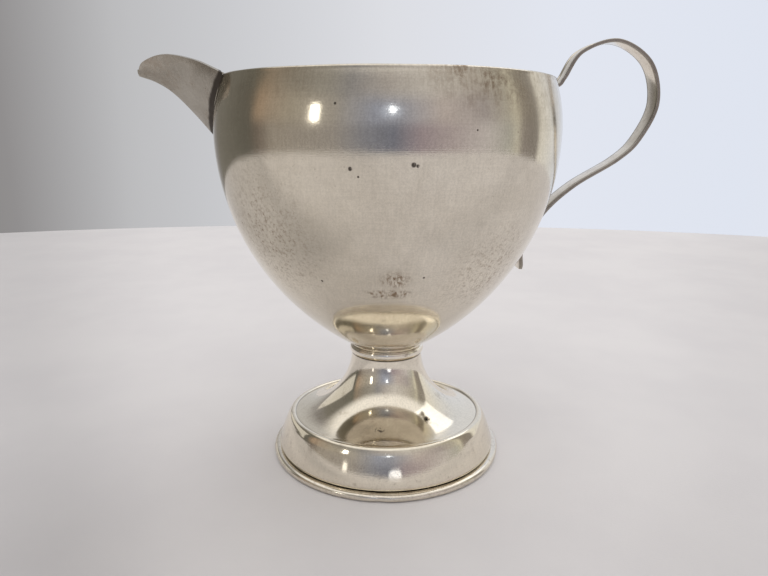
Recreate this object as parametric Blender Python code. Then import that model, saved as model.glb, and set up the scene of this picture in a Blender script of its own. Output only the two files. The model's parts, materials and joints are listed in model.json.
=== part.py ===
"""Silver cream jug: a spun bowl on a weighted pedestal foot, with a pouring
spout on the -X side and a high strap handle on the +X side.

Frame: +Z up, metres, origin at the centre of the flat underside of the foot,
handle towards +X, spout towards -X, symmetric about the plane Y = 0.
Lengths below are in millimetres and are turned into metres where meshes are made.
"""
import math

import bmesh
import bpy
from mathutils import Vector

MM = 0.001
GAP = 0.3                    # clearance left at every soldered or pressed joint

# Driving dimensions, millimetres
FOOT_RADIUS = 31.0           # widest part of the base ring
BASE_RING_HEIGHT = 1.9
BASE_RING_BORE = 28.2
BASE_PLATE_THICK = 1.0
FOOT_SHEET = 0.8             # metal thickness of the spun foot
GROOVE_RADIUS = 28.9         # foot shell where it stands on the base ring
OGEE_RADIUS = 29.45          # widest part of the moulding above the ring
FACE_TOP = (27.2, 9.0)       # radius and height where the moulding's sloping face begins
STEP_RADIUS = 24.8           # foot of the concave flare
STEP_HEIGHT = 10.5
STEM_RADIUS = 9.4            # top of the foot
STEM_TOP = 27.2
WEIGHT_TOP = 21.0            # how high the weighting fills the stem
COLLAR_RADIUS = 9.8
COLLAR_BORE = 6.0
COLLAR_TOP = 30.3
BOWL_SEAT_RADIUS = 10.2      # flat underside of the bowl
BOWL_BOTTOM = COLLAR_TOP + GAP
BOWL_RADIUS = 42.2
BOWL_WIDEST = 84.2           # height of the widest part
RIM_RADIUS = 40.1
RIM_HEIGHT = 96.7
BOWL_SHEET = 0.9
SPOUT_SHEET = 0.9
SPOUT_HALF_WIDTH = 13.7      # where the spout's top edges leave the rim
SPOUT_LAP = 1.3              # spout overlaps the cut-out in the bowl by this much
SPOUT_KEEL_FOOT = 83.2       # height where the keel meets the bowl
SPOUT_REACH = 59.2
STRAP_THICK = 0.9
STRAP_TOP_WIDTH = 4.8
STRAP_TAIL_WIDTH = 6.1
STRAP_BEAD = 0.2             # height of the raised borders on the strap

# Mesh fineness
TURN_STEPS = 56
SMALL_TURN_STEPS = 40
SPOUT_ROWS = 18
SPOUT_COLUMNS = 16
STRAP_STATIONS = 46


def clear_scene():
    for item in list(bpy.data.objects):
        bpy.data.objects.remove(item, do_unlink=True)


def material(name, colour, roughness, metallic):
    made = bpy.data.materials.new(name)
    made.use_nodes = True
    shader = made.node_tree.nodes["Principled BSDF"]
    shader.inputs["Base Color"].default_value = (*colour, 1.0)
    shader.inputs["Roughness"].default_value = roughness
    shader.inputs["Metallic"].default_value = metallic
    made.diffuse_color = (*colour, 1.0)
    return made


def silver(name):
    return material(name, (0.78, 0.74, 0.66), 0.22, 1.0)


def pitch_cement():
    return material("pitch_cement", (0.10, 0.08, 0.06), 0.85, 0.0)


def bezier(start, control_a, control_b, end, count):
    """Points on one cubic curve, without its last point."""
    points = []
    for i in range(count):
        t = i / count
        s = 1.0 - t
        weights = (s * s * s, 3 * s * s * t, 3 * s * t * t, t * t * t)
        curve = zip(weights, (start, control_a, control_b, end))
        points.append(tuple(sum(c) for c in zip(*[[w * v for v in p] for w, p in curve])))
    return points


def arc(centre, radius, start_deg, end_deg, count):
    """Points on an arc, both ends included."""
    points = []
    for i in range(count + 1):
        angle = math.radians(start_deg + (end_deg - start_deg) * i / count)
        points.append((centre[0] + radius * math.cos(angle), centre[1] + radius * math.sin(angle)))
    return points


def inset(profile, distance):
    """An open (radius, height) line moved to its right-hand side by a distance."""
    moved = []
    last = len(profile) - 1
    for i, (radius, height) in enumerate(profile):
        before = Vector(profile[max(i - 1, 0)])
        after = Vector(profile[min(i + 1, last)])
        along = (after - before).normalized()
        moved.append((radius + along.y * distance, height - along.x * distance))
    return moved


def new_object(name, mesh, finish):
    made = bpy.data.objects.new(name, mesh)
    bpy.context.scene.collection.objects.link(made)
    if finish is not None:
        mesh.materials.append(finish)
    return made


def turned(name, profile, steps, finish, closed=True):
    """Solid of revolution; the profile runs down its outer side, top to bottom."""
    mesh = bpy.data.meshes.new(name)
    points = [(radius * MM, 0.0, height * MM) for radius, height in profile]
    edges = [(i, i + 1) for i in range(len(points) - 1)]
    if closed:
        edges.append((len(points) - 1, 0))
    mesh.from_pydata(points, edges, [])
    made = new_object(name, mesh, finish)
    screw = made.modifiers.new("turn", "SCREW")
    screw.axis = "Z"
    screw.angle = math.tau
    screw.steps = steps
    screw.render_steps = steps
    screw.use_merge_vertices = True
    screw.merge_threshold = 0.00001
    screw.use_smooth_shade = True
    return made


def cut(target, cutter):
    cutter.hide_render = True
    cutter.display_type = "WIRE"
    boolean = target.modifiers.new("cut", "BOOLEAN")
    boolean.operation = "DIFFERENCE"
    boolean.solver = "EXACT"
    boolean.object = cutter


def bowl_outer_wall():
    """Outer wall from the rim down to the edge of the flat seat."""
    shoulder = bezier((RIM_RADIUS, RIM_HEIGHT), (41.2, 93.2), (BOWL_RADIUS, 89.0),
                      (BOWL_RADIUS, BOWL_WIDEST), 5)
    belly = bezier((BOWL_RADIUS, BOWL_WIDEST), (BOWL_RADIUS, 65.9), (33.2, 44.7),
                   (BOWL_SEAT_RADIUS, BOWL_BOTTOM), 13)
    return shoulder + belly + [(BOWL_SEAT_RADIUS, BOWL_BOTTOM)]


def bowl_cut_out():
    """Cutter for the pouring opening behind the spout."""
    half = SPOUT_HALF_WIDTH - SPOUT_LAP
    top = RIM_HEIGHT + 5.0
    shoulder = RIM_HEIGHT - 2.6
    bottom = SPOUT_KEEL_FOOT + 2.2
    side = bezier((half, shoulder), (half, shoulder - 4.2), (3.4, bottom + 0.6), (0.0, bottom), 8)
    right = [(half, top)] + side
    outline = right + [(0.0, bottom)] + [(-y, z) for y, z in reversed(right)]
    shape = bmesh.new()
    inner = [shape.verts.new((-20.0 * MM, y * MM, z * MM)) for y, z in outline]
    face = shape.faces.new(inner)
    pushed = bmesh.ops.extrude_face_region(shape, geom=[face])
    moved = [v for v in pushed["geom"] if isinstance(v, bmesh.types.BMVert)]
    bmesh.ops.translate(shape, verts=moved, vec=(-30.0 * MM, 0.0, 0.0))
    bmesh.ops.recalc_face_normals(shape, faces=shape.faces)
    mesh = bpy.data.meshes.new("pour_cutter")
    shape.to_mesh(mesh)
    shape.free()
    return new_object("pour_cutter", mesh, None)


def bowl_clearance():
    """Cutter a joint's gap larger than the bowl, for the pieces soldered to it."""
    wall = [(radius + GAP, height) for radius, height in bowl_outer_wall()]
    top = RIM_HEIGHT + 15.0
    profile = [(0.0, top), (wall[0][0], top)] + wall + [(0.0, BOWL_BOTTOM - GAP)]
    return turned("bowl_clearance", profile, TURN_STEPS, None, closed=False)


def make_bowl(finish):
    outer = bowl_outer_wall()
    inner = inset(outer, BOWL_SHEET)
    inner[0] = (RIM_RADIUS - BOWL_SHEET, RIM_HEIGHT)
    floor_height = BOWL_BOTTOM + BOWL_SHEET
    inner[-1] = (BOWL_SEAT_RADIUS - 1.4, floor_height)
    lip = (RIM_RADIUS - BOWL_SHEET / 2, RIM_HEIGHT + 0.25)
    profile = [(0.0, floor_height)] + list(reversed(inner)) + [lip] + outer + [(0.0, BOWL_BOTTOM)]
    bowl = turned("bowl", profile, TURN_STEPS, finish, closed=False)
    cut(bowl, bowl_cut_out())
    return bowl


def spout_section(across):
    """Share of half width and of depth at a place across the trough, -1 to 1."""
    t = abs(across)
    s = 1.0 - t
    width = 3 * s * s * t * 0.26 + 3 * s * t * t * 0.84 + t * t * t
    depth = s * s * s + 3 * s * s * t * 0.90 + 3 * s * t * t * 0.42
    return math.copysign(width, across), depth


def blend_points(table, share):
    """Smooth curve through a short table of points, share running 0 to 1."""
    spans = len(table) - 1
    place = min(share * spans, spans - 1e-9)
    i = int(place)
    t = place - i
    p1 = Vector(table[i])
    p2 = Vector(table[i + 1])
    p0 = Vector(table[i - 1]) if i > 0 else 2 * p1 - p2
    p3 = Vector(table[i + 2]) if i + 2 <= spans else 2 * p2 - p1
    return 0.5 * (2 * p1 + (p2 - p0) * t + (2 * p0 - 5 * p1 + 4 * p2 - p3) * t * t
                  + (3 * p1 - p0 - 3 * p2 + p3) * t * t * t)


# Reach, height and half width of the spout's top edge, from inside the rim to the tip
SPOUT_EDGE = ((33.6, 95.2, 16.7), (38.6, 97.6, 12.9), (45.0, 100.4, 8.3),
              (52.4, 101.8, 4.2), (57.4, 100.3, 2.6), (SPOUT_REACH - 0.1, 98.1, 1.5))
# Reach and height of the keel, from inside the bowl to the tip
SPOUT_KEEL = ((38.5, 79.6), (42.2, SPOUT_KEEL_FOOT), (46.9, 88.7),
              (51.6, 93.5), (55.4, 95.9), (SPOUT_REACH, 97.2))


def spout_point(along, across):
    edge_reach, edge_height, half_width = blend_points(SPOUT_EDGE, along)
    keel_reach, keel_height = blend_points(SPOUT_KEEL, along)
    width, depth = spout_section(across)
    reach = edge_reach + (keel_reach - edge_reach) * depth
    height = edge_height + (keel_height - edge_height) * depth
    return Vector((-reach, half_width * width, height))


def spout_normal(along, across):
    """Unit normal pointing into the trough."""
    step = 0.004
    a0, a1 = max(along - step, 0.0), min(along + step, 1.0)
    b0, b1 = max(across - step, -1.0), min(across + step, 1.0)
    down_stream = spout_point(a1, across) - spout_point(a0, across)
    sideways = spout_point(along, b1) - spout_point(along, b0)
    return sideways.cross(down_stream).normalized()


def make_spout(finish):
    shape = bmesh.new()
    sheets = []
    for thickness in (0.0, SPOUT_SHEET):
        rows = []
        for i in range(SPOUT_ROWS + 1):
            row = []
            for j in range(SPOUT_COLUMNS + 1):
                along = i / SPOUT_ROWS
                across = 2.0 * j / SPOUT_COLUMNS - 1.0
                place = spout_point(along, across) + spout_normal(along, across) * thickness
                row.append(shape.verts.new(place * MM))
            rows.append(row)
        sheets.append(rows)
    outside, inside = sheets
    for i in range(SPOUT_ROWS):
        for j in range(SPOUT_COLUMNS):
            for sheet in sheets:
                shape.faces.new((sheet[i][j], sheet[i + 1][j], sheet[i + 1][j + 1], sheet[i][j + 1]))
        for j in (0, SPOUT_COLUMNS):
            shape.faces.new((outside[i][j], outside[i + 1][j], inside[i + 1][j], inside[i][j]))
    for j in range(SPOUT_COLUMNS):
        for i in (0, SPOUT_ROWS):
            shape.faces.new((outside[i][j], outside[i][j + 1], inside[i][j + 1], inside[i][j]))
    bmesh.ops.recalc_face_normals(shape, faces=shape.faces)
    mesh = bpy.data.meshes.new("spout")
    shape.to_mesh(mesh)
    shape.free()
    mesh.shade_smooth()
    mesh.set_sharp_from_angle(angle=math.radians(40))
    spout = new_object("spout", mesh, finish)
    cut(spout, bpy.data.objects["bowl_clearance"])
    return spout


# Reach and height of the strap's outer face, from the bowl's shoulder to its free tail
STRAP_PATH = ((40.9, 96.4), (42.2, 96.7), (43.4, 98.4), (47.5, 104.5), (56.8, 107.2),
              (65.7, 102.0), (68.5, 92.2), (64.7, 83.1), (59.2, 77.7), (48.4, 71.2),
              (40.9, 64.4), (35.95, 56.3), (35.8, 49.7))


def strap_section(width):
    """Cross-section of the strap as (across, out) points, plain inside, beaded outside."""
    half = width / 2
    bead = [(half, -0.3), (half - 0.2, 0.0), (half - 0.65, 0.0), (half - 0.9, -STRAP_BEAD)]
    outer = bead + [(-across, out) for across, out in reversed(bead)]
    return [(half, -STRAP_THICK)] + outer + [(-half, -STRAP_THICK)]


def make_handle(finish):
    shape = bmesh.new()
    loops = []
    for i in range(STRAP_STATIONS + 1):
        share = i / STRAP_STATIONS
        here = blend_points(STRAP_PATH, share)
        ahead = blend_points(STRAP_PATH, min(share + 0.003, 1.0))
        behind = blend_points(STRAP_PATH, max(share - 0.003, 0.0))
        along = (ahead - behind).normalized()
        outward = Vector((-along.y, along.x))
        width = STRAP_TOP_WIDTH + (STRAP_TAIL_WIDTH - STRAP_TOP_WIDTH) * share
        loop = []
        for across, out in strap_section(width):
            place = here + outward * out
            loop.append(shape.verts.new((place.x * MM, across * MM, place.y * MM)))
        loops.append(loop)
    size = len(loops[0])
    for first, second in zip(loops, loops[1:]):
        for j in range(size):
            k = (j + 1) % size
            shape.faces.new((first[j], first[k], second[k], second[j]))
    shape.faces.new(loops[0])
    shape.faces.new(loops[-1])
    bmesh.ops.recalc_face_normals(shape, faces=shape.faces)
    mesh = bpy.data.meshes.new("handle")
    shape.to_mesh(mesh)
    shape.free()
    mesh.shade_smooth()
    mesh.set_sharp_from_angle(angle=math.radians(35))
    handle = new_object("handle", mesh, finish)
    cut(handle, bpy.data.objects["bowl_clearance"])
    return handle


def make_collar(finish):
    bottom = STEM_TOP + GAP
    outer = bezier((STEM_RADIUS - 0.1, COLLAR_TOP), (COLLAR_RADIUS + 0.2, COLLAR_TOP - 0.7),
                   (COLLAR_RADIUS + 0.2, bottom + 0.7), (STEM_RADIUS, bottom), 6)
    profile = outer + [(STEM_RADIUS, bottom), (COLLAR_BORE, bottom), (COLLAR_BORE, COLLAR_TOP)]
    return turned("collar", profile, SMALL_TURN_STEPS, finish)


def foot_outer_wall():
    """Outer wall of the foot from the top of the stem to the groove above the ring."""
    bead = (STEP_RADIUS + 0.9, STEP_HEIGHT + 0.3)
    bottom = BASE_RING_HEIGHT + GAP
    flare = bezier((STEM_RADIUS, STEM_TOP), (STEM_RADIUS + 0.5, 18.4), (16.6, 12.0),
                   (STEP_RADIUS, STEP_HEIGHT), 12)
    fillet = bezier((STEP_RADIUS, STEP_HEIGHT), (STEP_RADIUS + 0.1, STEP_HEIGHT + 0.2),
                    (STEP_RADIUS + 0.3, STEP_HEIGHT + 0.3), bead, 2)
    shoulder = bezier(bead, (bead[0] + 0.7, bead[1] - 0.05),
                      (FACE_TOP[0] - 0.45, FACE_TOP[1] + 0.9), FACE_TOP, 4)
    face = bezier(FACE_TOP, (FACE_TOP[0] + 0.85, FACE_TOP[1] - 1.9), (OGEE_RADIUS - 0.75, 5.2),
                  (OGEE_RADIUS - 0.2, 3.3), 5)
    under = bezier((OGEE_RADIUS - 0.2, 3.3), (OGEE_RADIUS + 0.05, 2.7), (OGEE_RADIUS - 0.1, 2.4),
                   (GROOVE_RADIUS, bottom), 2)
    return flare + fillet + shoulder + face + under + [(GROOVE_RADIUS, bottom)]


def foot_inner_wall():
    """Inner wall of the foot, bottom to top, with the mouldings only followed loosely."""
    bottom = BASE_RING_HEIGHT + GAP
    rise = bezier((GROOVE_RADIUS - FOOT_SHEET, bottom), (OGEE_RADIUS - 1.1, 4.6),
                  (27.0, 8.2), (STEP_RADIUS + 0.2, STEP_HEIGHT - 1.5), 5)
    neck = bezier((STEP_RADIUS + 0.2, STEP_HEIGHT - 1.5), (16.2, 10.9), (9.4, 17.6),
                  (STEM_RADIUS - FOOT_SHEET, STEM_TOP - FOOT_SHEET), 8)
    return rise + neck + [(STEM_RADIUS - FOOT_SHEET, STEM_TOP - FOOT_SHEET)]


def make_foot(finish):
    profile = foot_outer_wall() + foot_inner_wall()
    profile += [(COLLAR_BORE, STEM_TOP - FOOT_SHEET), (COLLAR_BORE, STEM_TOP)]
    return turned("foot", profile, TURN_STEPS, finish)


def make_base_ring(finish):
    half = BASE_RING_HEIGHT / 2
    bulge = arc((FOOT_RADIUS - half * 1.1, half), half, 90, -90, 6)
    bulge = [(FOOT_RADIUS - half * 1.1 + (r - FOOT_RADIUS + half * 1.1) * 1.1, z) for r, z in bulge]
    profile = bulge + [(BASE_RING_BORE, 0.0), (BASE_RING_BORE, BASE_RING_HEIGHT)]
    return turned("base_ring", profile, TURN_STEPS, finish)


def make_weight(finish):
    """Cement poured into the foot; it fills the shell up to part way up the stem."""
    bottom = BASE_PLATE_THICK + GAP
    wall = [(r - GAP * 1.4, z - GAP * 0.3) for r, z in foot_inner_wall()]
    wall = [(r, z) for r, z in reversed(wall) if bottom + 0.5 < z < WEIGHT_TOP]
    profile = [(0.0, WEIGHT_TOP), (wall[0][0] - 0.6, WEIGHT_TOP)] + wall
    profile += [(wall[-1][0], bottom), (0.0, bottom)]
    return turned("weighting", profile, SMALL_TURN_STEPS, finish, closed=False)


def make_base_plate(finish):
    radius = BASE_RING_BORE - GAP
    profile = [(0.0, BASE_PLATE_THICK), (radius - 0.2, BASE_PLATE_THICK),
               (radius, BASE_PLATE_THICK - 0.2), (radius, 0.0), (0.0, 0.0)]
    return turned("base_plate", profile, SMALL_TURN_STEPS, finish, closed=False)


def main():
    clear_scene()
    clearance = bowl_clearance()
    clearance.hide_render = True
    clearance.display_type = "WIRE"
    make_bowl(silver("bowl_silver"))
    make_spout(silver("spout_silver"))
    make_handle(silver("handle_silver"))
    make_collar(silver("collar_silver"))
    make_foot(silver("foot_silver"))
    make_base_ring(silver("base_ring_silver"))
    make_base_plate(silver("base_plate_silver"))
    make_weight(pitch_cement())


main()
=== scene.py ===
"""Visual model of a silver cream jug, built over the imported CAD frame.

Lengths are in millimetres in the helpers and become metres where meshes are made.
The frame is the part's own: +Z up, handle towards +X, spout towards -X.
"""

import json
import math

import bmesh
import bpy
import numpy as np
from mathutils import Matrix, Vector, noise

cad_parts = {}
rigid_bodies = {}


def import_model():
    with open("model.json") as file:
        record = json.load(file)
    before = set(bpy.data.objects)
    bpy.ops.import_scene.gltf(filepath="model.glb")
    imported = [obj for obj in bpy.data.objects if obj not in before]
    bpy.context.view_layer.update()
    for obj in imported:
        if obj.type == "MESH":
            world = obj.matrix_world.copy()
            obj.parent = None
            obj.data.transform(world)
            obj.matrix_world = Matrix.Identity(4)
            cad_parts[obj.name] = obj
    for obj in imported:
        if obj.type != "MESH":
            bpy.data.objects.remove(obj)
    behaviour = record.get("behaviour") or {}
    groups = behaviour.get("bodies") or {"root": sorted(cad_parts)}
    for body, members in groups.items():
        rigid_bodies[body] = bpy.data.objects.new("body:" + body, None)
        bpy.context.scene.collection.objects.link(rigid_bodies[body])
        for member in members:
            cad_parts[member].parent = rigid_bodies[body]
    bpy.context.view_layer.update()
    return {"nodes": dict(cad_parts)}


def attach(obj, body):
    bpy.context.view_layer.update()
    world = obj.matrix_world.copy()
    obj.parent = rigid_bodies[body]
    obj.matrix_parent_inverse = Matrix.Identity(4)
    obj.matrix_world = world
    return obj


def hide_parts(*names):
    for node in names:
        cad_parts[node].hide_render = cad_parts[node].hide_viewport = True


MM = 0.001
CAMERA_TURN = math.radians(-5.0)     # the jug stands turned by this much to the camera

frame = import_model()

# ---------------------------------------------------------------- shape helpers


def bezier(start, control_a, control_b, end, count):
    """Points on one cubic curve, without its last point."""
    t = np.arange(count)[:, None] / count
    s = 1.0 - t
    a, b, c, d = (np.array(p, float) for p in (start, control_a, control_b, end))
    return (s ** 3 * a + 3 * s * s * t * b + 3 * s * t * t * c + t ** 3 * d).tolist()


def arc(centre, radius, start_deg, end_deg, count):
    """Points on an arc, both ends included."""
    points = []
    for i in range(count + 1):
        angle = math.radians(start_deg + (end_deg - start_deg) * i / count)
        points.append([centre[0] + radius * math.cos(angle), centre[1] + radius * math.sin(angle)])
    return points


def inset(profile, distance):
    """An open (radius, height) line moved to its right-hand side by a distance."""
    line = np.array(profile, float)
    along = np.gradient(line, axis=0)
    along /= np.linalg.norm(along, axis=1)[:, None]
    moved = line + np.stack([along[:, 1], -along[:, 0]], axis=1) * distance
    return moved.tolist()


def blend_points(table, share):
    """Smooth curve through a short table of points, share running 0 to 1."""
    spans = len(table) - 1
    place = min(share * spans, spans - 1e-9)
    i = int(place)
    t = place - i
    p1 = Vector(table[i])
    p2 = Vector(table[i + 1])
    p0 = Vector(table[i - 1]) if i > 0 else 2 * p1 - p2
    p3 = Vector(table[i + 2]) if i + 2 <= spans else 2 * p2 - p1
    return 0.5 * (2 * p1 + (p2 - p0) * t + (2 * p0 - 5 * p1 + 4 * p2 - p3) * t * t
                  + (3 * p1 - p0 - 3 * p2 + p3) * t * t * t)


def new_object(name, mesh):
    made = bpy.data.objects.new(name, mesh)
    bpy.context.scene.collection.objects.link(made)
    return made


def finish_mesh(shape, name, sharp_deg):
    """Object from a bmesh, smooth shaded except at edges sharper than sharp_deg."""
    bmesh.ops.recalc_face_normals(shape, faces=shape.faces)
    mesh = bpy.data.meshes.new(name)
    shape.to_mesh(mesh)
    shape.free()
    mesh.shade_smooth()
    mesh.set_sharp_from_angle(angle=math.radians(sharp_deg))
    return new_object(name, mesh)


def turned(name, profile, steps, uneven=None, closed=True, sharp_deg=35):
    """Solid of revolution; uneven(angle, radius, height) gives (sunk, lift) of a point, in mm."""
    shape = bmesh.new()
    rings = []
    for radius, height in profile:
        if radius < 1e-6:
            rings.append([shape.verts.new((0.0, 0.0, height * MM))])
            continue
        ring = []
        for k in range(steps):
            angle = math.tau * k / steps
            c, s = math.cos(angle), math.sin(angle)
            sunk, lift = uneven(angle, radius, height) if uneven else (0.0, 0.0)
            place = ((radius - sunk) * c * MM, (radius - sunk) * s * MM, (height + lift) * MM)
            ring.append(shape.verts.new(place))
        rings.append(ring)
    pairs = list(zip(rings, rings[1:]))
    if closed:
        pairs.append((rings[-1], rings[0]))
    for upper, lower in pairs:
        for k in range(steps):
            n = (k + 1) % steps
            if len(upper) == 1:
                shape.faces.new((upper[0], lower[k], lower[n]))
            elif len(lower) == 1:
                shape.faces.new((upper[k], upper[n], lower[0]))
            else:
                shape.faces.new((upper[k], upper[n], lower[n], lower[k]))
    return finish_mesh(shape, name, sharp_deg)


def smooth_noise(x, y, z, size, seed):
    """Soft noise from -1 to 1 with bumps about that size in mm."""
    return noise.noise(Vector((x / size + seed, y / size - seed, z / size + 2.0 * seed)))


def cut_away(target, cutter):
    """Cut the cutter out of the target for good, and remove it."""
    boolean = target.modifiers.new("cut", "BOOLEAN")
    boolean.operation = "DIFFERENCE"
    boolean.solver = "EXACT"
    boolean.object = cutter
    bpy.context.view_layer.update()
    evaluated = target.evaluated_get(bpy.context.evaluated_depsgraph_get())
    kept = bpy.data.meshes.new_from_object(evaluated)
    target.modifiers.clear()
    target.data = kept
    bpy.data.objects.remove(cutter, do_unlink=True)
    kept.shade_smooth()
    kept.set_sharp_from_angle(angle=math.radians(35))


# ---------------------------------------------------------------- bowl

BOWL_RADIUS = 42.18
BOWL_WIDEST = 84.2
RIM_RADIUS = 40.1
RIM_HEIGHT = 96.7
BOWL_SHEET = 0.9
SEAT_RADIUS = 10.2
SEAT_HEIGHT = 30.6


def bowl_outer():
    shoulder = bezier((RIM_RADIUS, RIM_HEIGHT - 0.2), (41.2, 93.2), (BOWL_RADIUS, 89.0),
                      (BOWL_RADIUS, BOWL_WIDEST), 22)
    belly = bezier((BOWL_RADIUS, BOWL_WIDEST), (BOWL_RADIUS, 65.9), (33.2, 44.7),
                   (SEAT_RADIUS, SEAT_HEIGHT), 74)
    return shoulder + belly + [[SEAT_RADIUS, SEAT_HEIGHT]]


def bowl_uneven(angle, radius, height):
    """Soft dents from use: slow waves in the wall, and a rim that is not quite level."""
    x, y = radius * math.cos(angle), radius * math.sin(angle)
    wave = smooth_noise(x, y, height, 24.0, 3.1) * 0.045 + smooth_noise(x, y, height, 9.0, 7.7) * 0.012
    near_rim = max(0.0, (height - 90.0) / 7.0)
    lift = smooth_noise(x, y, 0.0, 16.0, 11.3) * 0.16 * near_rim
    return 0.06 - wave, lift


def pour_cutter():
    """The opening in the wall behind the spout."""
    half, top, shoulder, bottom = 12.4, RIM_HEIGHT + 5.0, RIM_HEIGHT - 2.6, 85.4
    side = bezier((half, shoulder), (half, shoulder - 4.2), (3.4, bottom + 0.6), (0.0, bottom), 24)
    right = [[half, top]] + side
    outline = right + [[0.0, bottom]] + [[-y, z] for y, z in reversed(right)]
    shape = bmesh.new()
    near = [shape.verts.new((-20.0 * MM, y * MM, z * MM)) for y, z in outline]
    pushed = bmesh.ops.extrude_face_region(shape, geom=[shape.faces.new(near)])
    moved = [v for v in pushed["geom"] if isinstance(v, bmesh.types.BMVert)]
    bmesh.ops.translate(shape, verts=moved, vec=(-30.0 * MM, 0.0, 0.0))
    return finish_mesh(shape, "pour_cutter", 35)


def make_bowl():
    outer = bowl_outer()
    inner = inset(outer, BOWL_SHEET)
    inner[-1] = [SEAT_RADIUS - 1.4, SEAT_HEIGHT + BOWL_SHEET]
    half = BOWL_SHEET / 2
    lip = arc((RIM_RADIUS - half, RIM_HEIGHT - 0.2), half, 160, 20, 7)
    profile = [[0.0, SEAT_HEIGHT + BOWL_SHEET]] + inner[::-1] + lip + outer + [[0.0, SEAT_HEIGHT]]
    bowl = turned("bowl_shell", profile, 240, bowl_uneven, closed=False)
    cut_away(bowl, pour_cutter())
    return bowl


def bowl_solid():
    """The space the bowl takes, for trimming what is soldered to its wall."""
    wall = [[r - 0.12, z] for r, z in bowl_outer()]
    profile = [[0.0, RIM_HEIGHT + 15.0], [wall[0][0], RIM_HEIGHT + 15.0]] + wall + [[0.0, SEAT_HEIGHT]]
    return turned("bowl_solid", profile, 240, closed=False)


# ---------------------------------------------------------------- spout

SPOUT_SHEET = 0.9
SPOUT_REACH = 59.15
# Reach, height and half width of the spout's top edge, from inside the rim to the tip
SPOUT_EDGE = ((33.6, 95.2, 16.7), (38.6, 97.6, 12.9), (45.0, 100.4, 8.3),
              (52.4, 101.8, 4.2), (57.4, 100.3, 2.6), (SPOUT_REACH - 0.1, 98.1, 1.5))
# Reach and height of the keel, from inside the bowl to the tip
SPOUT_KEEL = ((38.5, 79.6), (42.2, 83.2), (46.9, 88.7), (51.6, 93.5), (55.4, 95.9),
              (SPOUT_REACH, 97.2))


def spout_point(along, across):
    edge_reach, edge_height, half_width = blend_points(SPOUT_EDGE, along)
    keel_reach, keel_height = blend_points(SPOUT_KEEL, along)
    t = abs(across)
    s = 1.0 - t
    width = math.copysign(3 * s * s * t * 0.26 + 3 * s * t * t * 0.84 + t * t * t, across)
    depth = s * s * s + 3 * s * s * t * 0.90 + 3 * s * t * t * 0.42
    reach = edge_reach + (keel_reach - edge_reach) * depth
    height = edge_height + (keel_height - edge_height) * depth
    return Vector((-reach, half_width * width, height))


def spout_normal(along, across):
    """Unit normal pointing into the trough."""
    step = 0.004
    a0, a1 = max(along - step, 0.0), min(along + step, 1.0)
    b0, b1 = max(across - step, -1.0), min(across + step, 1.0)
    down_stream = spout_point(a1, across) - spout_point(a0, across)
    sideways = spout_point(along, b1) - spout_point(along, b0)
    return sideways.cross(down_stream).normalized()


def make_spout():
    rows, columns = 72, 48
    shape = bmesh.new()
    sheets = []
    for thickness in (0.0, SPOUT_SHEET):
        sheet = []
        for i in range(rows + 1):
            line = []
            for j in range(columns + 1):
                along, across = i / rows, 2.0 * j / columns - 1.0
                place = spout_point(along, across)
                sunk = 0.05 + 0.03 * smooth_noise(place.x, place.y, place.z, 8.0, 5.0)
                place = place + spout_normal(along, across) * (thickness + sunk)
                line.append(shape.verts.new(place * MM))
            sheet.append(line)
        sheets.append(sheet)
    outside, inside = sheets
    for i in range(rows):
        for j in range(columns):
            for sheet in sheets:
                shape.faces.new((sheet[i][j], sheet[i + 1][j], sheet[i + 1][j + 1], sheet[i][j + 1]))
        for j in (0, columns):
            shape.faces.new((outside[i][j], outside[i + 1][j], inside[i + 1][j], inside[i][j]))
    for j in range(columns):
        for i in (0, rows):
            shape.faces.new((outside[i][j], outside[i][j + 1], inside[i][j + 1], inside[i][j]))
    spout = finish_mesh(shape, "spout_trough", 40)
    cut_away(spout, bowl_solid())
    bevel = spout.modifiers.new("soft_edge", "BEVEL")
    bevel.width = 0.22 * MM
    bevel.segments = 3
    bevel.limit_method = "ANGLE"
    bevel.angle_limit = math.radians(50)
    return spout


# ---------------------------------------------------------------- handle

# Reach and height of the strap's outer face, from the rim to its free tail
STRAP_PATH = ((40.4, 96.3), (42.2, 96.7), (43.4, 98.4), (47.5, 104.5), (56.8, 107.2),
              (65.7, 102.0), (68.5, 92.2), (64.7, 83.1), (59.2, 77.7), (48.4, 71.2),
              (40.9, 64.4), (35.95, 56.3), (35.8, 49.7))
STRAP_THICK = 0.9
STRAP_TOP_WIDTH = 4.8
STRAP_TAIL_WIDTH = 6.1
STRAP_BEAD = 0.2


def strap_section(width):
    """Cross-section as (across, out) points: rounded edges and a raised border each side."""
    half = width / 2
    out = []
    out += arc((half - 0.25, -STRAP_THICK + 0.25), 0.25, -90, 0, 4)
    out += arc((half - 0.22, -0.24), 0.22, 0, 90, 4)
    for k in range(1, 7):
        t = k / 6
        out.append([half - 0.5 - 0.5 * t, -0.02 - STRAP_BEAD * (1 - math.cos(math.pi * t)) / 2])
    for k in range(1, 8):
        out.append([(half - 1.0) * (1 - k / 4), -0.02 - STRAP_BEAD + 0.05 * (1 - (1 - k / 4) ** 2)])
    left = [[-a, o] for a, o in reversed(out[:16])]
    return out + left


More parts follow.
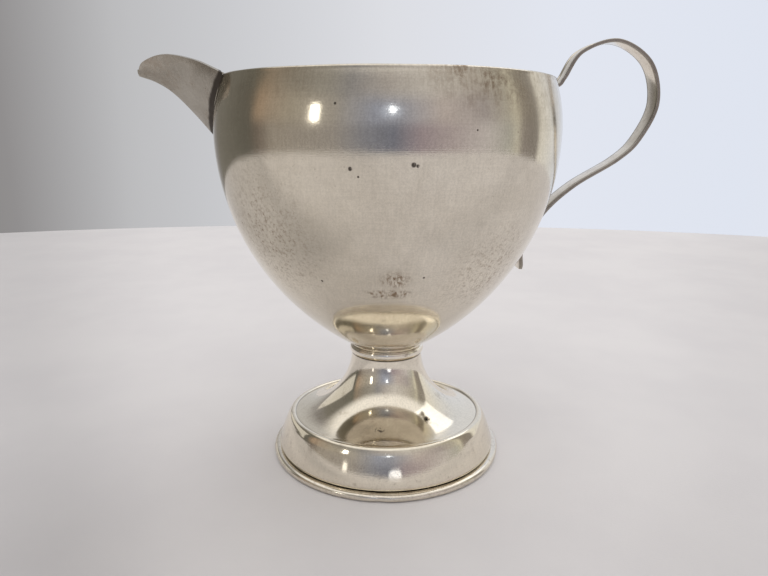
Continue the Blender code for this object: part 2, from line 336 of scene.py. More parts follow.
def make_handle():
    stations = 320
    shape = bmesh.new()
    loops = []
    for i in range(stations + 1):
        share = i / stations
        here = blend_points(STRAP_PATH, share)
        along = (blend_points(STRAP_PATH, min(share + 0.003, 1.0))
                 - blend_points(STRAP_PATH, max(share - 0.003, 0.0))).normalized()
        outward = Vector((-along.y, along.x))
        width = STRAP_TOP_WIDTH + (STRAP_TAIL_WIDTH - STRAP_TOP_WIDTH) * share
        width -= 0.06 + 0.05 * smooth_noise(share * 60, 0.0, 0.0, 6.0, 2.0)
        taper = 1.0 if share < 0.985 else 1.0 - 0.25 * (share - 0.985) / 0.015
        loop = []
        for across, out in strap_section(width):
            place = here + outward * (out - 0.03)
            loop.append(shape.verts.new((place.x * MM, across * taper * MM, place.y * MM)))
        loops.append(loop)
    size = len(loops[0])
    for first, second in zip(loops, loops[1:]):
        for j in range(size):
            k = (j + 1) % size
            shape.faces.new((first[j], first[k], second[k], second[j]))
    shape.faces.new(loops[0])
    shape.faces.new(loops[-1])
    return finish_mesh(shape, "handle_strap", 45)


# ---------------------------------------------------------------- foot

STEM_RADIUS = 9.4
STEM_TOP = 27.2
STEP_RADIUS = 24.8
STEP_HEIGHT = 10.5
OGEE_RADIUS = 29.45
FACE_TOP = (27.2, 9.0)        # top of the moulding's sloping face
GROOVE_RADIUS = 28.9
RING_RADIUS = 30.97
RING_HEIGHT = 1.9
STEP_TILT = 0.045             # rise per mm towards the front


def foot_outer():
    """Stem, flare, crease, rounded shoulder, sloping face and groove, top to bottom."""
    bead = (STEP_RADIUS + 0.9, STEP_HEIGHT + 0.3)
    flare = bezier((STEM_RADIUS, STEM_TOP), (STEM_RADIUS + 0.5, 18.4), (16.6, 12.0),
                   (STEP_RADIUS - 0.1, STEP_HEIGHT), 46)
    fillet = bezier((STEP_RADIUS - 0.1, STEP_HEIGHT), (STEP_RADIUS + 0.15, STEP_HEIGHT - 0.15),
                    (STEP_RADIUS + 0.2, STEP_HEIGHT + 0.35), bead, 10)
    shoulder = bezier(bead, (bead[0] + 0.7, bead[1] - 0.05),
                      (FACE_TOP[0] - 0.45, FACE_TOP[1] + 0.9), FACE_TOP, 14)
    face = bezier(FACE_TOP, (FACE_TOP[0] + 0.85, FACE_TOP[1] - 1.9), (OGEE_RADIUS - 0.75, 5.2),
                  (OGEE_RADIUS - 0.2, 3.3), 24)
    under = bezier((OGEE_RADIUS - 0.2, 3.3), (OGEE_RADIUS + 0.05, 2.6), (OGEE_RADIUS - 0.1, 2.2),
                   (GROOVE_RADIUS, RING_HEIGHT + 0.12), 8)
    return flare + fillet + shoulder + face + under + [[GROOVE_RADIUS, RING_HEIGHT + 0.12]]


def foot_uneven(angle, radius, height):
    """Slow waves, and a step that stands a little higher at the front."""
    x, y = radius * math.cos(angle), radius * math.sin(angle)
    wave = smooth_noise(x, y, height, 13.0, 1.7) * 0.05 + smooth_noise(x, y, height, 5.0, 9.2) * 0.012
    level = min(max((height - 2.4) / 6.5, 0.0), 1.0) * min(max((26.0 - height) / 14.0, 0.0), 1.0)
    return 0.05 - wave, STEP_TILT * (-y * math.cos(CAMERA_TURN) + x * math.sin(CAMERA_TURN)) * level


def ring_uneven(angle, radius, height):
    """The rim of the foot is a little battered: a nick at the front and slow waves."""
    x, y = radius * math.cos(angle), radius * math.sin(angle)
    wave = smooth_noise(x, y, 0.0, 10.0, 4.4) * 0.10 + smooth_noise(x, y, 0.0, 3.5, 6.1) * 0.03
    nick = math.exp(-((math.degrees(angle) - 360.0 + 98.0) / 3.2) ** 2) * 0.28
    share = max(0.0, height / RING_HEIGHT)
    return 0.13 - wave + nick, -0.25 * nick * share + 0.06 * share * smooth_noise(x, y, 9.0, 7.0, 2.2)


def make_foot():
    outer = foot_outer()
    inner = [[GROOVE_RADIUS - 0.8, RING_HEIGHT + 0.15], [27.3, 6.0], [24.6, 8.4], [16.5, 12.6],
             [10.2, 18.0], [8.7, 26.3], [6.0, 26.4], [6.0, STEM_TOP]]
    return turned("foot_spun", outer + inner, 208, foot_uneven)


def make_collar():
    bottom, top = STEM_TOP - 0.05, 30.62
    outer = bezier((STEM_RADIUS + 0.55, top), (STEM_RADIUS + 0.3, top - 0.9), (STEM_RADIUS - 0.1, top - 0.9),
                   (STEM_RADIUS - 0.1, top - 1.1), 6)
    outer += bezier((STEM_RADIUS - 0.1, top - 1.1), (STEM_RADIUS + 0.75, top - 1.3),
                    (STEM_RADIUS + 0.75, bottom + 0.5), (STEM_RADIUS - 0.1, bottom + 0.2), 12)
    outer += [[STEM_RADIUS - 0.1, bottom + 0.2], [STEM_RADIUS - 0.2, bottom]]
    return turned("collar_ring", outer + [[6.0, bottom], [6.0, top]], 160, foot_uneven)


def make_base_ring():
    half = RING_HEIGHT / 2
    bulge = arc((RING_RADIUS - half, half), half, 78, -78, 14)
    profile = [[GROOVE_RADIUS - 0.4, RING_HEIGHT], [RING_RADIUS - half - 0.35, RING_HEIGHT + 0.02]]
    profile += bulge + [[RING_RADIUS - half - 0.3, 0.0], [28.2, 0.0], [28.2, RING_HEIGHT]]
    return turned("base_ring_band", profile, 256, ring_uneven)


def make_base_plate():
    """Disc under the foot: a shallow dish with turning lines and a small centre boss."""
    profile = [[0.0, 1.1], [27.9, 1.1], [28.15, 0.9], [28.15, 0.35]]
    profile += bezier((28.15, 0.35), (27.6, 0.1), (26.9, 0.5), (26.2, 0.55), 8)
    profile += bezier((26.2, 0.55), (18.0, 0.7), (8.0, 0.7), (4.0, 0.62), 12)
    profile += bezier((4.0, 0.62), (3.4, 0.6), (3.2, 0.3), (2.6, 0.28), 6) + [[0.0, 0.25]]
    return turned("base_plate_disc", profile, 160, closed=False)


# ---------------------------------------------------------------- node helpers


class Nodes:
    """Short names for adding shader nodes; every helper returns an output socket."""

    def __init__(self, tree):
        self.tree = tree

    def add(self, kind, inputs=(), **settings):
        made = self.tree.nodes.new(kind)
        for key, value in settings.items():
            setattr(made, key, value)
        for key, value in dict(inputs).items():
            if isinstance(value, bpy.types.NodeSocket):
                self.tree.links.new(value, made.inputs[key])
            else:
                made.inputs[key].default_value = value
        return made

    def math(self, operation, a, b=0.0, c=0.0):
        return self.add("ShaderNodeMath", {0: a, 1: b, 2: c}, operation=operation).outputs[0]

    def vector_math(self, operation, a, b=(0.0, 0.0, 0.0)):
        made = self.add("ShaderNodeVectorMath", {0: a, 1: b}, operation=operation)
        return made.outputs["Value" if operation in ("LENGTH", "DISTANCE", "DOT_PRODUCT") else "Vector"]

    def split(self, vector):
        return self.add("ShaderNodeSeparateXYZ", {0: vector}).outputs

    def join(self, x, y, z):
        return self.add("ShaderNodeCombineXYZ", {0: x, 1: y, 2: z}).outputs[0]

    def noise(self, vector, scale, detail=2.0, rough=0.5, distortion=0.0):
        return self.add("ShaderNodeTexNoise", {"Vector": vector, "Scale": scale, "Detail": detail,
                                               "Roughness": rough, "Distortion": distortion}).outputs[0]

    def step(self, value, low, high, out_low=0.0, out_high=1.0):
        """Smooth change from out_low to out_high as value goes from low to high."""
        made = self.add("ShaderNodeMapRange", {"Value": value, "From Min": low, "From Max": high,
                                               "To Min": out_low, "To Max": out_high},
                        interpolation_type="SMOOTHSTEP")
        return made.outputs[0]

    def mix(self, factor, a, b):
        made = self.add("ShaderNodeMix", {"Factor": factor}, data_type="RGBA")
        for key, value in ((6, a), (7, b)):
            if isinstance(value, bpy.types.NodeSocket):
                self.tree.links.new(value, made.inputs[key])
            else:
                made.inputs[key].default_value = (*value, 1.0)
        return made.outputs[2]

    def blob(self, place, centre, size, soft=0.5):
        """1 inside an ellipsoid of half sizes size about centre, fading to 0 at its edge."""
        offset = self.vector_math("SUBTRACT", place, centre)
        offset = self.vector_math("DIVIDE", offset, size)
        return self.step(self.vector_math("LENGTH", offset), 1.0, 1.0 - soft)

    def most(self, *values):
        found = values[0]
        for value in values[1:]:
            found = self.math("MAXIMUM", found, value)
        return found


def new_material(name):
    made = bpy.data.materials.new(name)
    made.use_nodes = True
    return made, Nodes(made.node_tree), made.node_tree.nodes["Principled BSDF"]


# ---------------------------------------------------------------- silver

CLEAN = (0.77, 0.715, 0.62)
HAZE = (0.655, 0.60, 0.51)
GOLDEN = (0.75, 0.67, 0.50)
BROWN = (0.30, 0.225, 0.16)
# DARK colours real dark spots and also painted shade in seams, creases, grooves and edges
DARK = (0.045, 0.035, 0.028)
BRUSHING = (0.06, 7.0, 7.0)          # long round the jug, short upwards and outwards


def silver(name, seed, masks, haze=0.5, roughness=0.17, speck=0.5, tint=1.0):
    """Worn silver: haze, grain, specks, fine scratches, and the part's own masks of tarnish and painted
    shade.

    masks(n, place, round_place) returns (brown, dark, golden), each 0 to 1; dark holds real dark spots, seam
    tarnish and painted shade in seams, creases, grooves and edges.
    round_place is (distance round, height, radius); tint makes the whole silver lighter or darker, painting
    light and shade onto that part.
    """
    made, n, shader = new_material(name)
    place = n.vector_math("SCALE", n.add("ShaderNodeTexCoord").outputs["Object"])
    place.node.inputs["Scale"].default_value = 1.0 / MM
    x, y, z = n.split(place)[0:3]
    angle = n.math("ARCTAN2", y, x)
    radius = n.math("SQRT", n.math("ADD", n.math("MULTIPLY", x, x), n.math("MULTIPLY", y, y)))
    seeded = n.vector_math("ADD", place, (seed, -seed, 2.0 * seed))
    round_place = n.join(n.math("MULTIPLY", angle, 40.0), z, radius)

    cloud = n.noise(seeded, 0.055, 5.0, 0.62, 0.6)
    blotch = n.noise(seeded, 0.22, 4.0, 0.65, 0.3)
    grain = n.noise(seeded, 2.6, 2.0, 0.6)
    upright = n.noise(n.vector_math("MULTIPLY", round_place, (2.2, 0.22, 0.5)), 1.0, 3.0, 0.6)
    level = n.noise(n.vector_math("MULTIPLY", round_place, (0.10, 3.0, 0.8)), 1.0, 3.0, 0.6)

    hazy = n.math("MULTIPLY", n.step(cloud, 0.36, 0.66), 0.75)
    hazy = n.math("ADD", hazy, n.math("MULTIPLY", n.step(blotch, 0.42, 0.72), 0.35))
    hazy = n.math("MULTIPLY", hazy, haze)
    colour = n.mix(hazy, CLEAN, HAZE)

    fine = n.math("ADD", n.math("MULTIPLY", grain, 0.5), n.math("MULTIPLY", upright, 0.3))
    fine = n.math("ADD", fine, n.math("MULTIPLY", level, 0.2))
    # tint scales this part's silver lighter or darker: painted light and shade
    shade = n.step(fine, 0.36, 0.64, 0.90 * tint, 1.07 * tint)
    colour = n.vector_math("MULTIPLY", colour, n.join(shade, shade, shade))

    brown, dark, golden = masks(n, place, round_place)
    colour = n.mix(n.math("MULTIPLY", golden, 0.8), colour, GOLDEN)
    edge_noise = n.noise(seeded, 0.9, 3.0, 0.7)
    brown = n.math("MULTIPLY", brown, n.step(edge_noise, 0.30, 0.62))
    colour = n.mix(brown, colour, BROWN)

    patches = n.step(n.noise(seeded, 0.075, 3.0, 0.6, 0.4), 0.48, 0.68)
    dots = n.step(n.noise(seeded, 1.7, 2.0, 0.55), 0.66, 0.74)
    specks = n.math("MULTIPLY", n.math("MULTIPLY", patches, dots), speck)
    colour = n.mix(specks, colour, BROWN)
    # dark paints real dark spots and painted shade in seams, creases, grooves and edges
    colour = n.mix(dark, colour, DARK)
    n.tree.links.new(colour, shader.inputs["Base Color"])

    dull = n.math("ADD", n.math("MULTIPLY", hazy, 0.09), roughness)
    dull = n.math("ADD", dull, n.math("MULTIPLY", n.step(fine, 0.36, 0.66), 0.025))
    dull = n.math("ADD", dull, n.math("MULTIPLY", n.most(brown, specks, dark), 0.28))
    n.tree.links.new(dull, shader.inputs["Roughness"])
    shader.inputs["Metallic"].default_value = 1.0

    brush = n.noise(n.vector_math("MULTIPLY", round_place, BRUSHING), 1.0, 2.0, 0.6)
    crossed = n.vector_math("ADD", n.vector_math("MULTIPLY", seeded, (0.5, 0.9, 2.6)), (3.0, 5.0, 7.0))
    scuff = n.noise(crossed, 1.0, 3.0, 0.65, 1.5)
    height = n.math("ADD", n.math("MULTIPLY", brush, 0.35), n.math("MULTIPLY", scuff, 0.35))
    height = n.math("ADD", height, n.math("MULTIPLY", n.most(specks, dark), -0.8))
    bump = n.add("ShaderNodeBump", {"Strength": 0.09, "Distance": 0.00010, "Height": height})
    n.tree.links.new(bump.outputs[0], shader.inputs["Normal"])
    return made


def on_bowl(azimuth_deg, height, radius):
    """A point on the bowl's wall, in mm."""
    angle = math.radians(azimuth_deg)
    return (radius * math.cos(angle), radius * math.sin(angle), height)


def bowl_masks(n, place, round_place):
    z = n.split(round_place)[1]
    streak = n.noise(n.vector_math("MULTIPLY", round_place, (0.9, 0.16, 0.2)), 1.0, 4.0, 0.75)
    near_rim = n.step(z, 82.0, 96.5)
    rim_patch = n.noise(n.vector_math("MULTIPLY", round_place, (0.05, 0.03, 0.0)), 1.0, 2.0)
    rim_patch = n.step(rim_patch, 0.40, 0.62)
    front_right = n.blob(place, on_bowl(-64.0, 97.0, 40.5), (20.0, 20.0, 13.0), 0.7)
    rim_wear = n.math("MULTIPLY", near_rim, n.most(n.math("MULTIPLY", rim_patch, 0.5), front_right))
    patchy = n.step(n.noise(place, 0.22, 3.0, 0.6), 0.36, 0.62, 0.35, 1.0)
    brown = n.math("MULTIPLY", n.math("MULTIPLY", rim_wear, patchy), n.step(streak, 0.34, 0.58, 0.0, 0.95))
    cluster = n.blob(place, on_bowl(-94.5, 51.2, 32.6), (7.5, 6.0, 1.7), 0.7)
    cluster = n.most(cluster, n.blob(place, on_bowl(-92.0, 54.8, 34.2), (4.5, 6.0, 3.0), 0.8))
    dashes = n.noise(n.vector_math("MULTIPLY", round_place, (1.5, 0.9, 0.3)), 1.0, 3.0, 0.65)
    cluster = n.math("MULTIPLY", cluster, n.step(dashes, 0.42, 0.54))
    trail = n.blob(place, on_bowl(-127.5, 54.6, 34.4), (3.2, 3.2, 0.6), 0.8)
    trail = n.math("MULTIPLY", trail, n.step(dashes, 0.46, 0.56, 0.2, 1.0))
    foxing = n.noise(place, 1.3, 5.0, 0.8)
    low_left = n.blob(place, on_bowl(-138.0, 62.0, 38.0), (20.0, 20.0, 25.0), 0.9)
    low_right = n.blob(place, on_bowl(-54.0, 55.0, 35.0), (17.0, 17.0, 18.0), 0.9)
    sides = n.math("MULTIPLY", n.most(low_left, low_right), n.step(foxing, 0.45, 0.62, 0.0, 0.80))
    brown = n.most(brown, cluster, n.math("MULTIPLY", trail, 0.7), sides)
    spots = []
    # azimuth, height and radius of each dark spot, and its size
    for azimuth, height, radius_mm, size in ((-104.7, 78.0, 41.9, 0.55), (-102.6, 76.5, 41.7, 0.32),
                                             (-88.2, 78.8, 41.9, 0.62), (-87.1, 78.6, 41.9, 0.45),
                                             (-71.1, 85.2, 42.2, 0.28), (-82.0, 55.2, 34.5, 0.34),
                                             (-119.4, 53.7, 33.6, 0.36), (-124.0, 55.3, 34.2, 0.26),
                                             (-108.5, 89.9, 41.7, 0.34), (140.0, 70.0, 40.4, 0.8),
                                             (75.0, 62.0, 37.9, 0.7), (60.0, 80.0, 42.1, 0.6)):
        spots.append(n.blob(place, on_bowl(azimuth, height, radius_mm), (size, size, size), 0.45))
    dark = n.math("MULTIPLY", n.most(*spots), n.step(n.noise(place, 1.6, 2.0), 0.30, 0.50, 0.35, 0.9))
    # painted shade: the bowl's bottom is darkened where it sits on the collar
    seat = n.step(z, 31.6, 30.7)
    dark = n.most(dark, n.math("MULTIPLY", seat, 0.45))
    left = n.step(n.split(place)[0], 6.0, -28.0, 0.0, 0.30)
    golden = n.most(n.step(z, 52.0, 34.0, 0.0, 0.4), left)
    return brown, dark, golden


def spout_masks(n, place, round_place):
    z, radius = n.split(round_place)[1:3]
    # seam is partly tarnish and partly painted shadow: the spout darkens near-black where it meets the
    # bowl's wall
    below = n.math("SUBTRACT", z, 84.2)
    wall = n.math("SUBTRACT", 42.2, n.math("MULTIPLY", n.math("MULTIPLY", below, below), 0.0135))
    away = n.math("SUBTRACT", radius, wall)
    away = n.math("ADD", away, n.math("MULTIPLY", n.noise(place, 0.35, 2.0), -0.8))
    seam = n.step(away, 1.0, 0.35, 0.0, 0.9)
    stain = n.math("MULTIPLY", n.step(n.noise(place, 0.16, 4.0, 0.7), 0.46, 0.66), 0.35)
    return stain, seam, n.math("MULTIPLY", seam, 0.0)


def strap_masks(n, place, round_place):
    y = n.math("ABSOLUTE", n.split(place)[1])
    stain = n.math("MULTIPLY", n.step(n.noise(place, 0.2, 4.0, 0.7), 0.44, 0.66), 0.35)
    # border is painted shade: the strap's side edges are darkened
    border = n.step(y, 1.85, 2.25)
    return stain, n.math("MULTIPLY", border, 0.55), n.math("MULTIPLY", border, 0.0)


def band(n, value, centre, half):
    """1 at centre, 0 beyond half on either side."""
    return n.step(n.math("ABSOLUTE", n.math("SUBTRACT", value, centre)), half, half * 0.3)


def foot_masks(n, place, round_place):
    z, radius = n.split(round_place)[1:3]
    # crease, groove and top are painted shade: darker in the crease, in the groove above the ring and on top
    # where the collar sits
    crease = n.math("MULTIPLY", band(n, radius, 24.85, 0.22), 0.45)
    groove = n.math("MULTIPLY", n.step(z, 2.45, 2.1), 0.45)
    top = n.math("MULTIPLY", n.step(z, 27.0, 27.2), 0.5)
    stain = n.math("MULTIPLY", n.step(n.noise(place, 0.24, 4.0, 0.7), 0.52, 0.72), 0.30)
    foxing = n.math("MULTIPLY", n.step(n.noise(place, 0.9, 3.0, 0.7), 0.58, 0.68), 0.35)
    moulding = n.math("MULTIPLY", n.step(z, 9.0, 7.0), foxing)
    spot = n.blob(place, (-3.3, -19.3, 13.2), (1.6, 1.2, 0.7), 0.5)
    spot = n.math("MULTIPLY", spot, n.step(n.noise(place, 1.3, 2.0), 0.46, 0.56))
    golden = n.step(z, 27.0, 12.0, 0.1, 0.35)
    dark = n.most(crease, groove, top, n.math("MULTIPLY", spot, 0.8))
    return n.most(stain, moulding), dark, golden


def collar_masks(n, place, round_place):
    z = n.split(round_place)[1]
    # lower, upper and seam are painted shade: dark lines where the collar meets the foot and the bowl, and
    # in its waist
    lower = n.step(z, 27.45, 27.25, 0.0, 0.6)
    upper = n.math("MULTIPLY", band(n, z, 29.6, 0.14), 0.45)
    seam = n.step(z, 30.35, 30.6, 0.0, 0.6)
    spot = n.blob(place, (4.6, -9.0, 28.6), (1.6, 2.0, 0.7), 0.6)
    spot = n.math("MULTIPLY", spot, n.step(n.noise(place, 1.5, 2.0), 0.44, 0.54))
    golden = n.math("MULTIPLY", lower, 0.0)
    return spot, n.math("MULTIPLY", n.most(lower, upper, seam), 0.85), golden


def ring_masks(n, place, round_place):
    z, radius = n.split(round_place)[1:3]
    # inner and under are painted shade: the ring's inner face in the groove and its underside are darkened
    inner = n.math("MULTIPLY", n.step(radius, 29.2, 29.0), 0.5)
    under = n.math("MULTIPLY", n.step(z, 0.35, 0.05), 0.5)
    worn = n.math("MULTIPLY", n.step(n.noise(place, 0.7, 4.0, 0.7), 0.52, 0.70), 0.40)
    return worn, n.most(inner, under), n.math("MULTIPLY", inner, 0.0)


def plate_masks(n, place, round_place):
    radius = n.split(round_place)[2]
    lines = n.noise(n.join(n.math("MULTIPLY", radius, 3.0), 0.0, 0.0), 1.0, 2.0)
    stain = n.math("MULTIPLY", n.step(n.noise(place, 0.12, 4.0, 0.7), 0.44, 0.66), 0.6)
    # edge is painted shade: the plate's rim is darkened where it meets the ring
    edge = n.math("MULTIPLY", n.step(radius, 26.6, 27.8), 0.8)
    return n.math("MAXIMUM", stain, n.step(lines, 0.5, 0.8, 0.0, 0.4)), edge, n.math("MULTIPLY", edge, 0.0)


def cement(name):
    """Dark pitch and plaster filling, grainy and dull."""
    made, n, shader = new_material(name)
    place = n.vector_math("SCALE", n.add("ShaderNodeTexCoord").outputs["Object"])
    place.node.inputs["Scale"].default_value = 1.0 / MM
    lumps = n.noise(place, 0.6, 4.0, 0.7)
    colour = n.mix(n.step(lumps, 0.35, 0.68), (0.07, 0.055, 0.045), (0.15, 0.125, 0.10))
    n.tree.links.new(colour, shader.inputs["Base Color"])
    n.tree.links.new(n.step(lumps, 0.3, 0.7, 0.7, 0.95), shader.inputs["Roughness"])
    bump = n.add("ShaderNodeBump", {"Strength": 0.5, "Distance": 0.0003, "Height": lumps})
    n.tree.links.new(bump.outputs[0], shader.inputs["Normal"])
    return made


def cloth(name):
    """Plain pale cloth with a faint weave, with painted shade making it a little darker to the sides and
    front of the jug.
    """
    made, n, shader = new_material(name)
    place = n.vector_math("SCALE", n.add("ShaderNodeTexCoord").outputs["Object"])
    place.node.inputs["Scale"].default_value = 1.0 / MM
    weave = n.noise(n.vector_math("MULTIPLY", place, (1.0, 3.0, 1.0)), 1.2, 2.0, 0.6)
    slow = n.noise(place, 0.02, 3.0, 0.6)
    colour = n.mix(n.step(slow, 0.3, 0.7), (0.86, 0.84, 0.855), (0.90, 0.88, 0.89))
    turned_place = n.add("ShaderNodeVectorRotate", {"Vector": place, "Axis": (0.0, 0.0, 1.0),
                                                    "Angle": -CAMERA_TURN}, rotation_type="AXIS_ANGLE")
    x, y = n.split(turned_place.outputs[0])[0:2]
    side = n.math("DIVIDE", x, n.math("MAXIMUM", n.math("ADD", y, 160.0), 60.0))
    # painted shade: the cloth's colour is darkened towards the front and the sides
    painted_shade = n.math("ADD", n.step(side, -0.32, -0.64, 0.0, 0.22), n.step(side, 0.36, 0.66, 0.0, 0.10))
    painted_shade = n.math("MULTIPLY", painted_shade, n.step(y, -120.0, -50.0))
    painted_shade = n.math("ADD", painted_shade, n.step(y, -5.0, -70.0, 0.0, 0.07))
    painted_shade = n.math("SUBTRACT", 1.0, painted_shade)
    colour = n.vector_math("MULTIPLY", colour, n.join(painted_shade, painted_shade, painted_shade))
    n.tree.links.new(colour, shader.inputs["Base Color"])
    shader.inputs["Roughness"].default_value = 0.9
    shader.inputs["Specular IOR Level"].default_value = 0.15
    bump = n.add("ShaderNodeBump", {"Strength": 0.15, "Distance": 0.0004, "Height": weave})
    n.tree.links.new(bump.outputs[0], shader.inputs["Normal"])
    return made


# ---------------------------------------------------------------- assemble

# Maker, node, slot, seed, masks, then haze, roughness, specks and tint of its silver; the tint is painted
# light and shade, darker on the spout and lighter on the collar, foot, handle and ring
PARTS = (
    (make_bowl, "bowl", "bowl_silver", 3.0, bowl_masks, (0.8, 0.075, 0.5, 1.0)),
    (make_spout, "spout", "spout_silver", 11.0, spout_masks, (1.2, 0.18, 0.3, 0.64)),
    (make_handle, "handle", "handle_silver", 17.0, strap_masks, (0.5, 0.11, 0.3, 1.06)),
    (make_collar, "collar", "collar_silver", 23.0, collar_masks, (0.2, 0.08, 0.2, 1.18)),
    (make_foot, "foot", "foot_silver", 29.0, foot_masks, (0.25, 0.06, 0.15, 1.14)),
    (make_base_ring, "base_ring", "base_ring_silver", 37.0, ring_masks, (0.4, 0.13, 0.4, 1.05)),
    (make_base_plate, "base_plate", "base_plate_silver", 41.0, plate_masks, (1.0, 0.30, 0.6, 1.0)),
)
for maker, node, slot_name, seed, masks, wear in PARTS:
    piece = maker()
    piece.data.materials.clear()
    piece.data.materials.append(silver(node + "_finish", seed, masks, *wear))
    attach(piece, "root")
    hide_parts(node)

weighting = frame["nodes"]["weighting"]
weighting.data.materials.clear()
weighting.data.materials.append(cement("weighting_finish"))

# ---------------------------------------------------------------- studio

CAMERA_DISTANCE = 0.160              # metres from the jug's axis
CAMERA_HEIGHT = 0.08494
LENS_MM = 29.1328125                 # on a sensor 36 mm wide


def studio_place(azimuth_deg, elevation_deg, distance, centre_height=0.085):
    """Azimuth 0 is the camera's side, positive towards the handle."""
    a = math.radians(azimuth_deg) + CAMERA_TURN
    e = math.radians(elevation_deg)
    direction = Vector((math.sin(a) * math.cos(e), -math.cos(a) * math.cos(e), math.sin(e)))
    return direction * distance + Vector((0.0, 0.0, centre_height)), direction


def soft_light(name, azimuth_deg, elevation_deg, distance, width, height, watts, colour,
               shape="RECTANGLE"):
    """Area light facing the jug; sizes and distance in metres."""
    data = bpy.data.lights.new(name, "AREA")
    data.shape = shape
    data.size = width
    data.size_y = height
    data.energy = watts
    data.color = colour
    lamp = bpy.data.objects.new(name, data)
    bpy.context.scene.collection.objects.link(lamp)
    lamp.location, direction = studio_place(azimuth_deg, elevation_deg, distance)
    lamp.rotation_mode = "QUATERNION"
    lamp.rotation_quaternion = direction.to_track_quat("Z", "Y")
    lamp.visible_camera = False
    return lamp


def make_table():
    """Oval table top under a pale cloth that hangs over its edge."""
    half_width, half_depth = 0.72, 0.52
    radius, drop = 1.0, 0.035        # outline and rounding of the edge, as shares of the half sizes
    shape = bmesh.new()
    steps = 160
    profile = [[0.0, 0.0]] + [[radius * 0.2 * k, 0.0] for k in range(1, 5)]
    profile += [[radius - drop + r, -drop + h] for r, h in arc((0.0, 0.0), drop, 90, 0, 8)]
    profile += [[radius, -0.25]]
    rings = []
    for r, h in profile:
        count = 1 if r == 0.0 else steps
        ring = []
        for k in range(count):
            angle = math.tau * k / steps
            place = (r * half_width * math.cos(angle), r * half_depth * math.sin(angle), h)
            ring.append(shape.verts.new(place))
        rings.append(ring)
    for upper, lower in zip(rings, rings[1:]):
        for k in range(steps):
            m = (k + 1) % steps
            if len(upper) == 1:
                shape.faces.new((upper[0], lower[k], lower[m]))
            else:
                shape.faces.new((upper[k], lower[k], lower[m], upper[m]))
    table = finish_mesh(shape, "table_cloth", 60)
    offset = Matrix.Rotation(CAMERA_TURN, 4, "Z") @ Vector((0.0, -0.085, 0.0))
    table.data.transform(Matrix.Translation(offset) @ Matrix.Rotation(CAMERA_TURN, 4, "Z"))
    table.data.materials.append(cloth("cloth_finish"))


def room_ramp(n, share, front_stops):
    """Colour by direction: a pale wall behind the jug, then the given stops on the camera's side."""
    ramp = n.add("ShaderNodeValToRGB", {0: share})
    stops = ((-180, (0.72, 0.73, 0.77)), (-158, (0.51, 0.51, 0.52)), (-149, (0.28, 0.27, 0.27)),
             (-140, (0.21, 0.20, 0.18))) + front_stops
    stops += ((107, (0.28, 0.26, 0.24)), (110, (0.84, 0.82, 0.76)), (150, (0.74, 0.78, 0.87)),
              (165, (0.76, 0.79, 0.87)), (180, (0.72, 0.73, 0.77)))
    elements = ramp.color_ramp.elements
    while len(elements) < len(stops):
        elements.new(0.5)
    for element, (degrees, _) in zip(elements, stops):
        element.position = degrees / 360.0 + 0.5
    for element, (_, colour) in zip(elements, stops):
        element.color = (*colour, 1.0)
    return ramp.outputs[0]


def make_room():
    """Soft room light: pale wall behind the jug, brownish room on the camera's side."""
    world = bpy.data.worlds.new("studio")
    bpy.context.scene.world = world
    world.use_nodes = True
    n = Nodes(world.node_tree)
    background = world.node_tree.nodes["Background"]
    x, y, z = n.split(n.add("ShaderNodeTexCoord").outputs["Generated"])[0:3]
    turn = n.math("ARCTAN2", x, n.math("MULTIPLY", y, -1.0))
    share = n.math("FRACT", n.math("ADD", n.math("DIVIDE", turn, math.tau), 0.5 - CAMERA_TURN / math.tau))
    low = room_ramp(n, share, (
        (-96, (0.14, 0.135, 0.12)), (-86, (0.20, 0.17, 0.15)), (-74, (0.36, 0.33, 0.30)),
        (-33, (0.36, 0.34, 0.33)), (-14, (0.26, 0.27, 0.32)), (4, (0.20, 0.215, 0.28)),
        (20, (0.36, 0.31, 0.35)), (40, (0.46, 0.41, 0.43)), (62, (0.58, 0.55, 0.56)),
        (80, (0.47, 0.47, 0.44)), (87, (0.64, 0.62, 0.54)), (92, (0.31, 0.28, 0.26))))
    middle = room_ramp(n, share, (
        (-96, (0.14, 0.135, 0.12)), (-88, (0.42, 0.32, 0.24)), (-76, (0.42, 0.36, 0.30)),
        (-60, (0.42, 0.39, 0.34)), (-33, (0.40, 0.38, 0.36)), (-8, (0.34, 0.37, 0.47)),
        (8, (0.36, 0.38, 0.46)), (33, (0.55, 0.50, 0.50)), (62, (0.42, 0.39, 0.40)),
        (80, (0.50, 0.48, 0.43)), (87, (0.72, 0.69, 0.58)), (92, (0.33, 0.30, 0.26))))
    upper = room_ramp(n, share, (
        (-96, (0.17, 0.165, 0.14)), (-86, (0.30, 0.25, 0.20)), (-65, (0.29, 0.27, 0.24)),
        (-40, (0.34, 0.33, 0.31)), (-24, (0.30, 0.30, 0.32)), (0, (0.48, 0.46, 0.46)),
        (26, (0.62, 0.60, 0.59)), (62, (0.52, 0.49, 0.46)), (80, (0.45, 0.43, 0.38)),
        (87, (0.60, 0.57, 0.48)), (92, (0.35, 0.33, 0.29)), (106, (0.34, 0.32, 0.29))))
    colour = n.mix(n.step(z, 0.04, 0.20), low, middle)
    colour = n.mix(n.step(z, 0.30, 0.50), colour, upper)
    colour = n.mix(n.step(z, 0.58, 0.76), colour, (1.0, 0.98, 0.96))
    world.node_tree.links.new(colour, background.inputs["Color"])
    background.inputs["Strength"].default_value = 1.0


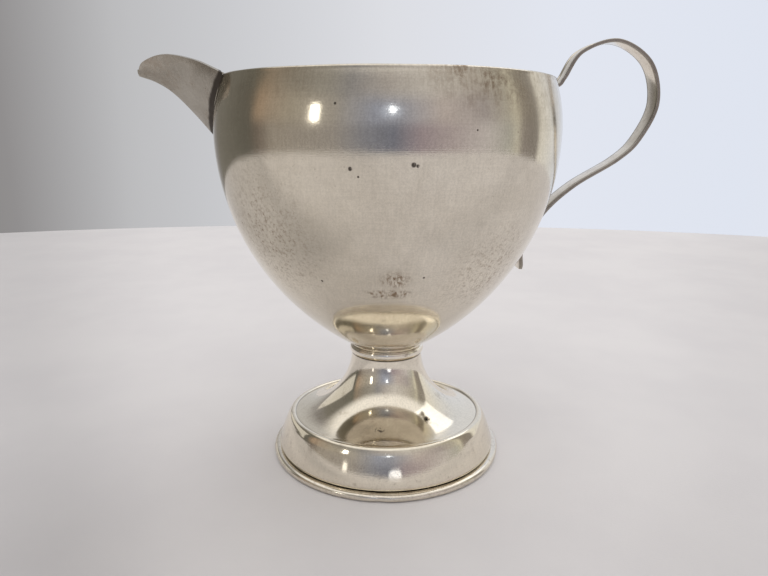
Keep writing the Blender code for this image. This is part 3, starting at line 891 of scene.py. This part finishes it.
def make_camera():
    """Seen from a little above the rim, close to the jug, looking down slightly."""
    pitch, yaw, roll = math.radians(14.17), math.radians(-0.26), math.radians(-0.26)
    right = Vector((math.cos(yaw), -math.sin(yaw), 0.0))
    ahead = Vector((math.cos(pitch) * math.sin(yaw), math.cos(pitch) * math.cos(yaw), -math.sin(pitch)))
    up = Vector((math.sin(pitch) * math.sin(yaw), math.sin(pitch) * math.cos(yaw), math.cos(pitch)))
    right, up = (right * math.cos(roll) - up * math.sin(roll), right * math.sin(roll) + up * math.cos(roll))
    turn = Matrix.Rotation(CAMERA_TURN, 3, "Z")
    axes = Matrix([turn @ right, turn @ up, turn @ -ahead]).transposed()
    data = bpy.data.cameras.new("camera")
    data.sensor_width = 36.0
    data.lens = LENS_MM
    data.clip_start = 0.005
    camera = bpy.data.objects.new("camera", data)
    bpy.context.scene.collection.objects.link(camera)
    place = turn @ Vector((0.0, -CAMERA_DISTANCE, CAMERA_HEIGHT))
    camera.matrix_world = Matrix.Translation(place) @ axes.to_4x4()
    bpy.context.scene.camera = camera


make_table()
make_room()
soft_light("window_left", -44, 12.5, 1.0, 0.085, 0.16, 0.22, (1.0, 0.97, 0.90))
soft_light("window_front", 3, 15.5, 1.0, 0.05, 0.032, 0.04, (0.80, 0.88, 1.0))
soft_light("glow_front", 2, 14.5, 1.1, 0.26, 0.18, 0.022, (0.62, 0.76, 1.0), "ELLIPSE")
# Window light that reaches the foot under the bowl: these lamps light the foot and its ring only
lit_foot = bpy.data.collections.new("lit_foot")
for piece in bpy.context.scene.objects:
    if piece.type == "MESH" and piece.name.startswith(("foot_", "base_ring_")):
        lit_foot.objects.link(piece)
low_lamps = (soft_light("low_left", -41, -4.4, 0.9, 0.07, 0.09, 0.026, (1.0, 0.98, 0.93)),
             soft_light("low_front", 9, -4.4, 0.9, 0.19, 0.09, 0.060, (0.88, 0.92, 1.0), "ELLIPSE"),
             soft_light("side_left", -124, 9.0, 1.0, 0.90, 0.36, 0.50, (1.0, 0.97, 0.91)))
for lamp in low_lamps:
    lamp.light_linking.receiver_collection = lit_foot
soft_light("key", 128, 52, 1.3, 0.9, 0.9, 1.6, (0.97, 0.98, 1.0))
make_camera()
bpy.context.scene.view_settings.view_transform = "Standard"
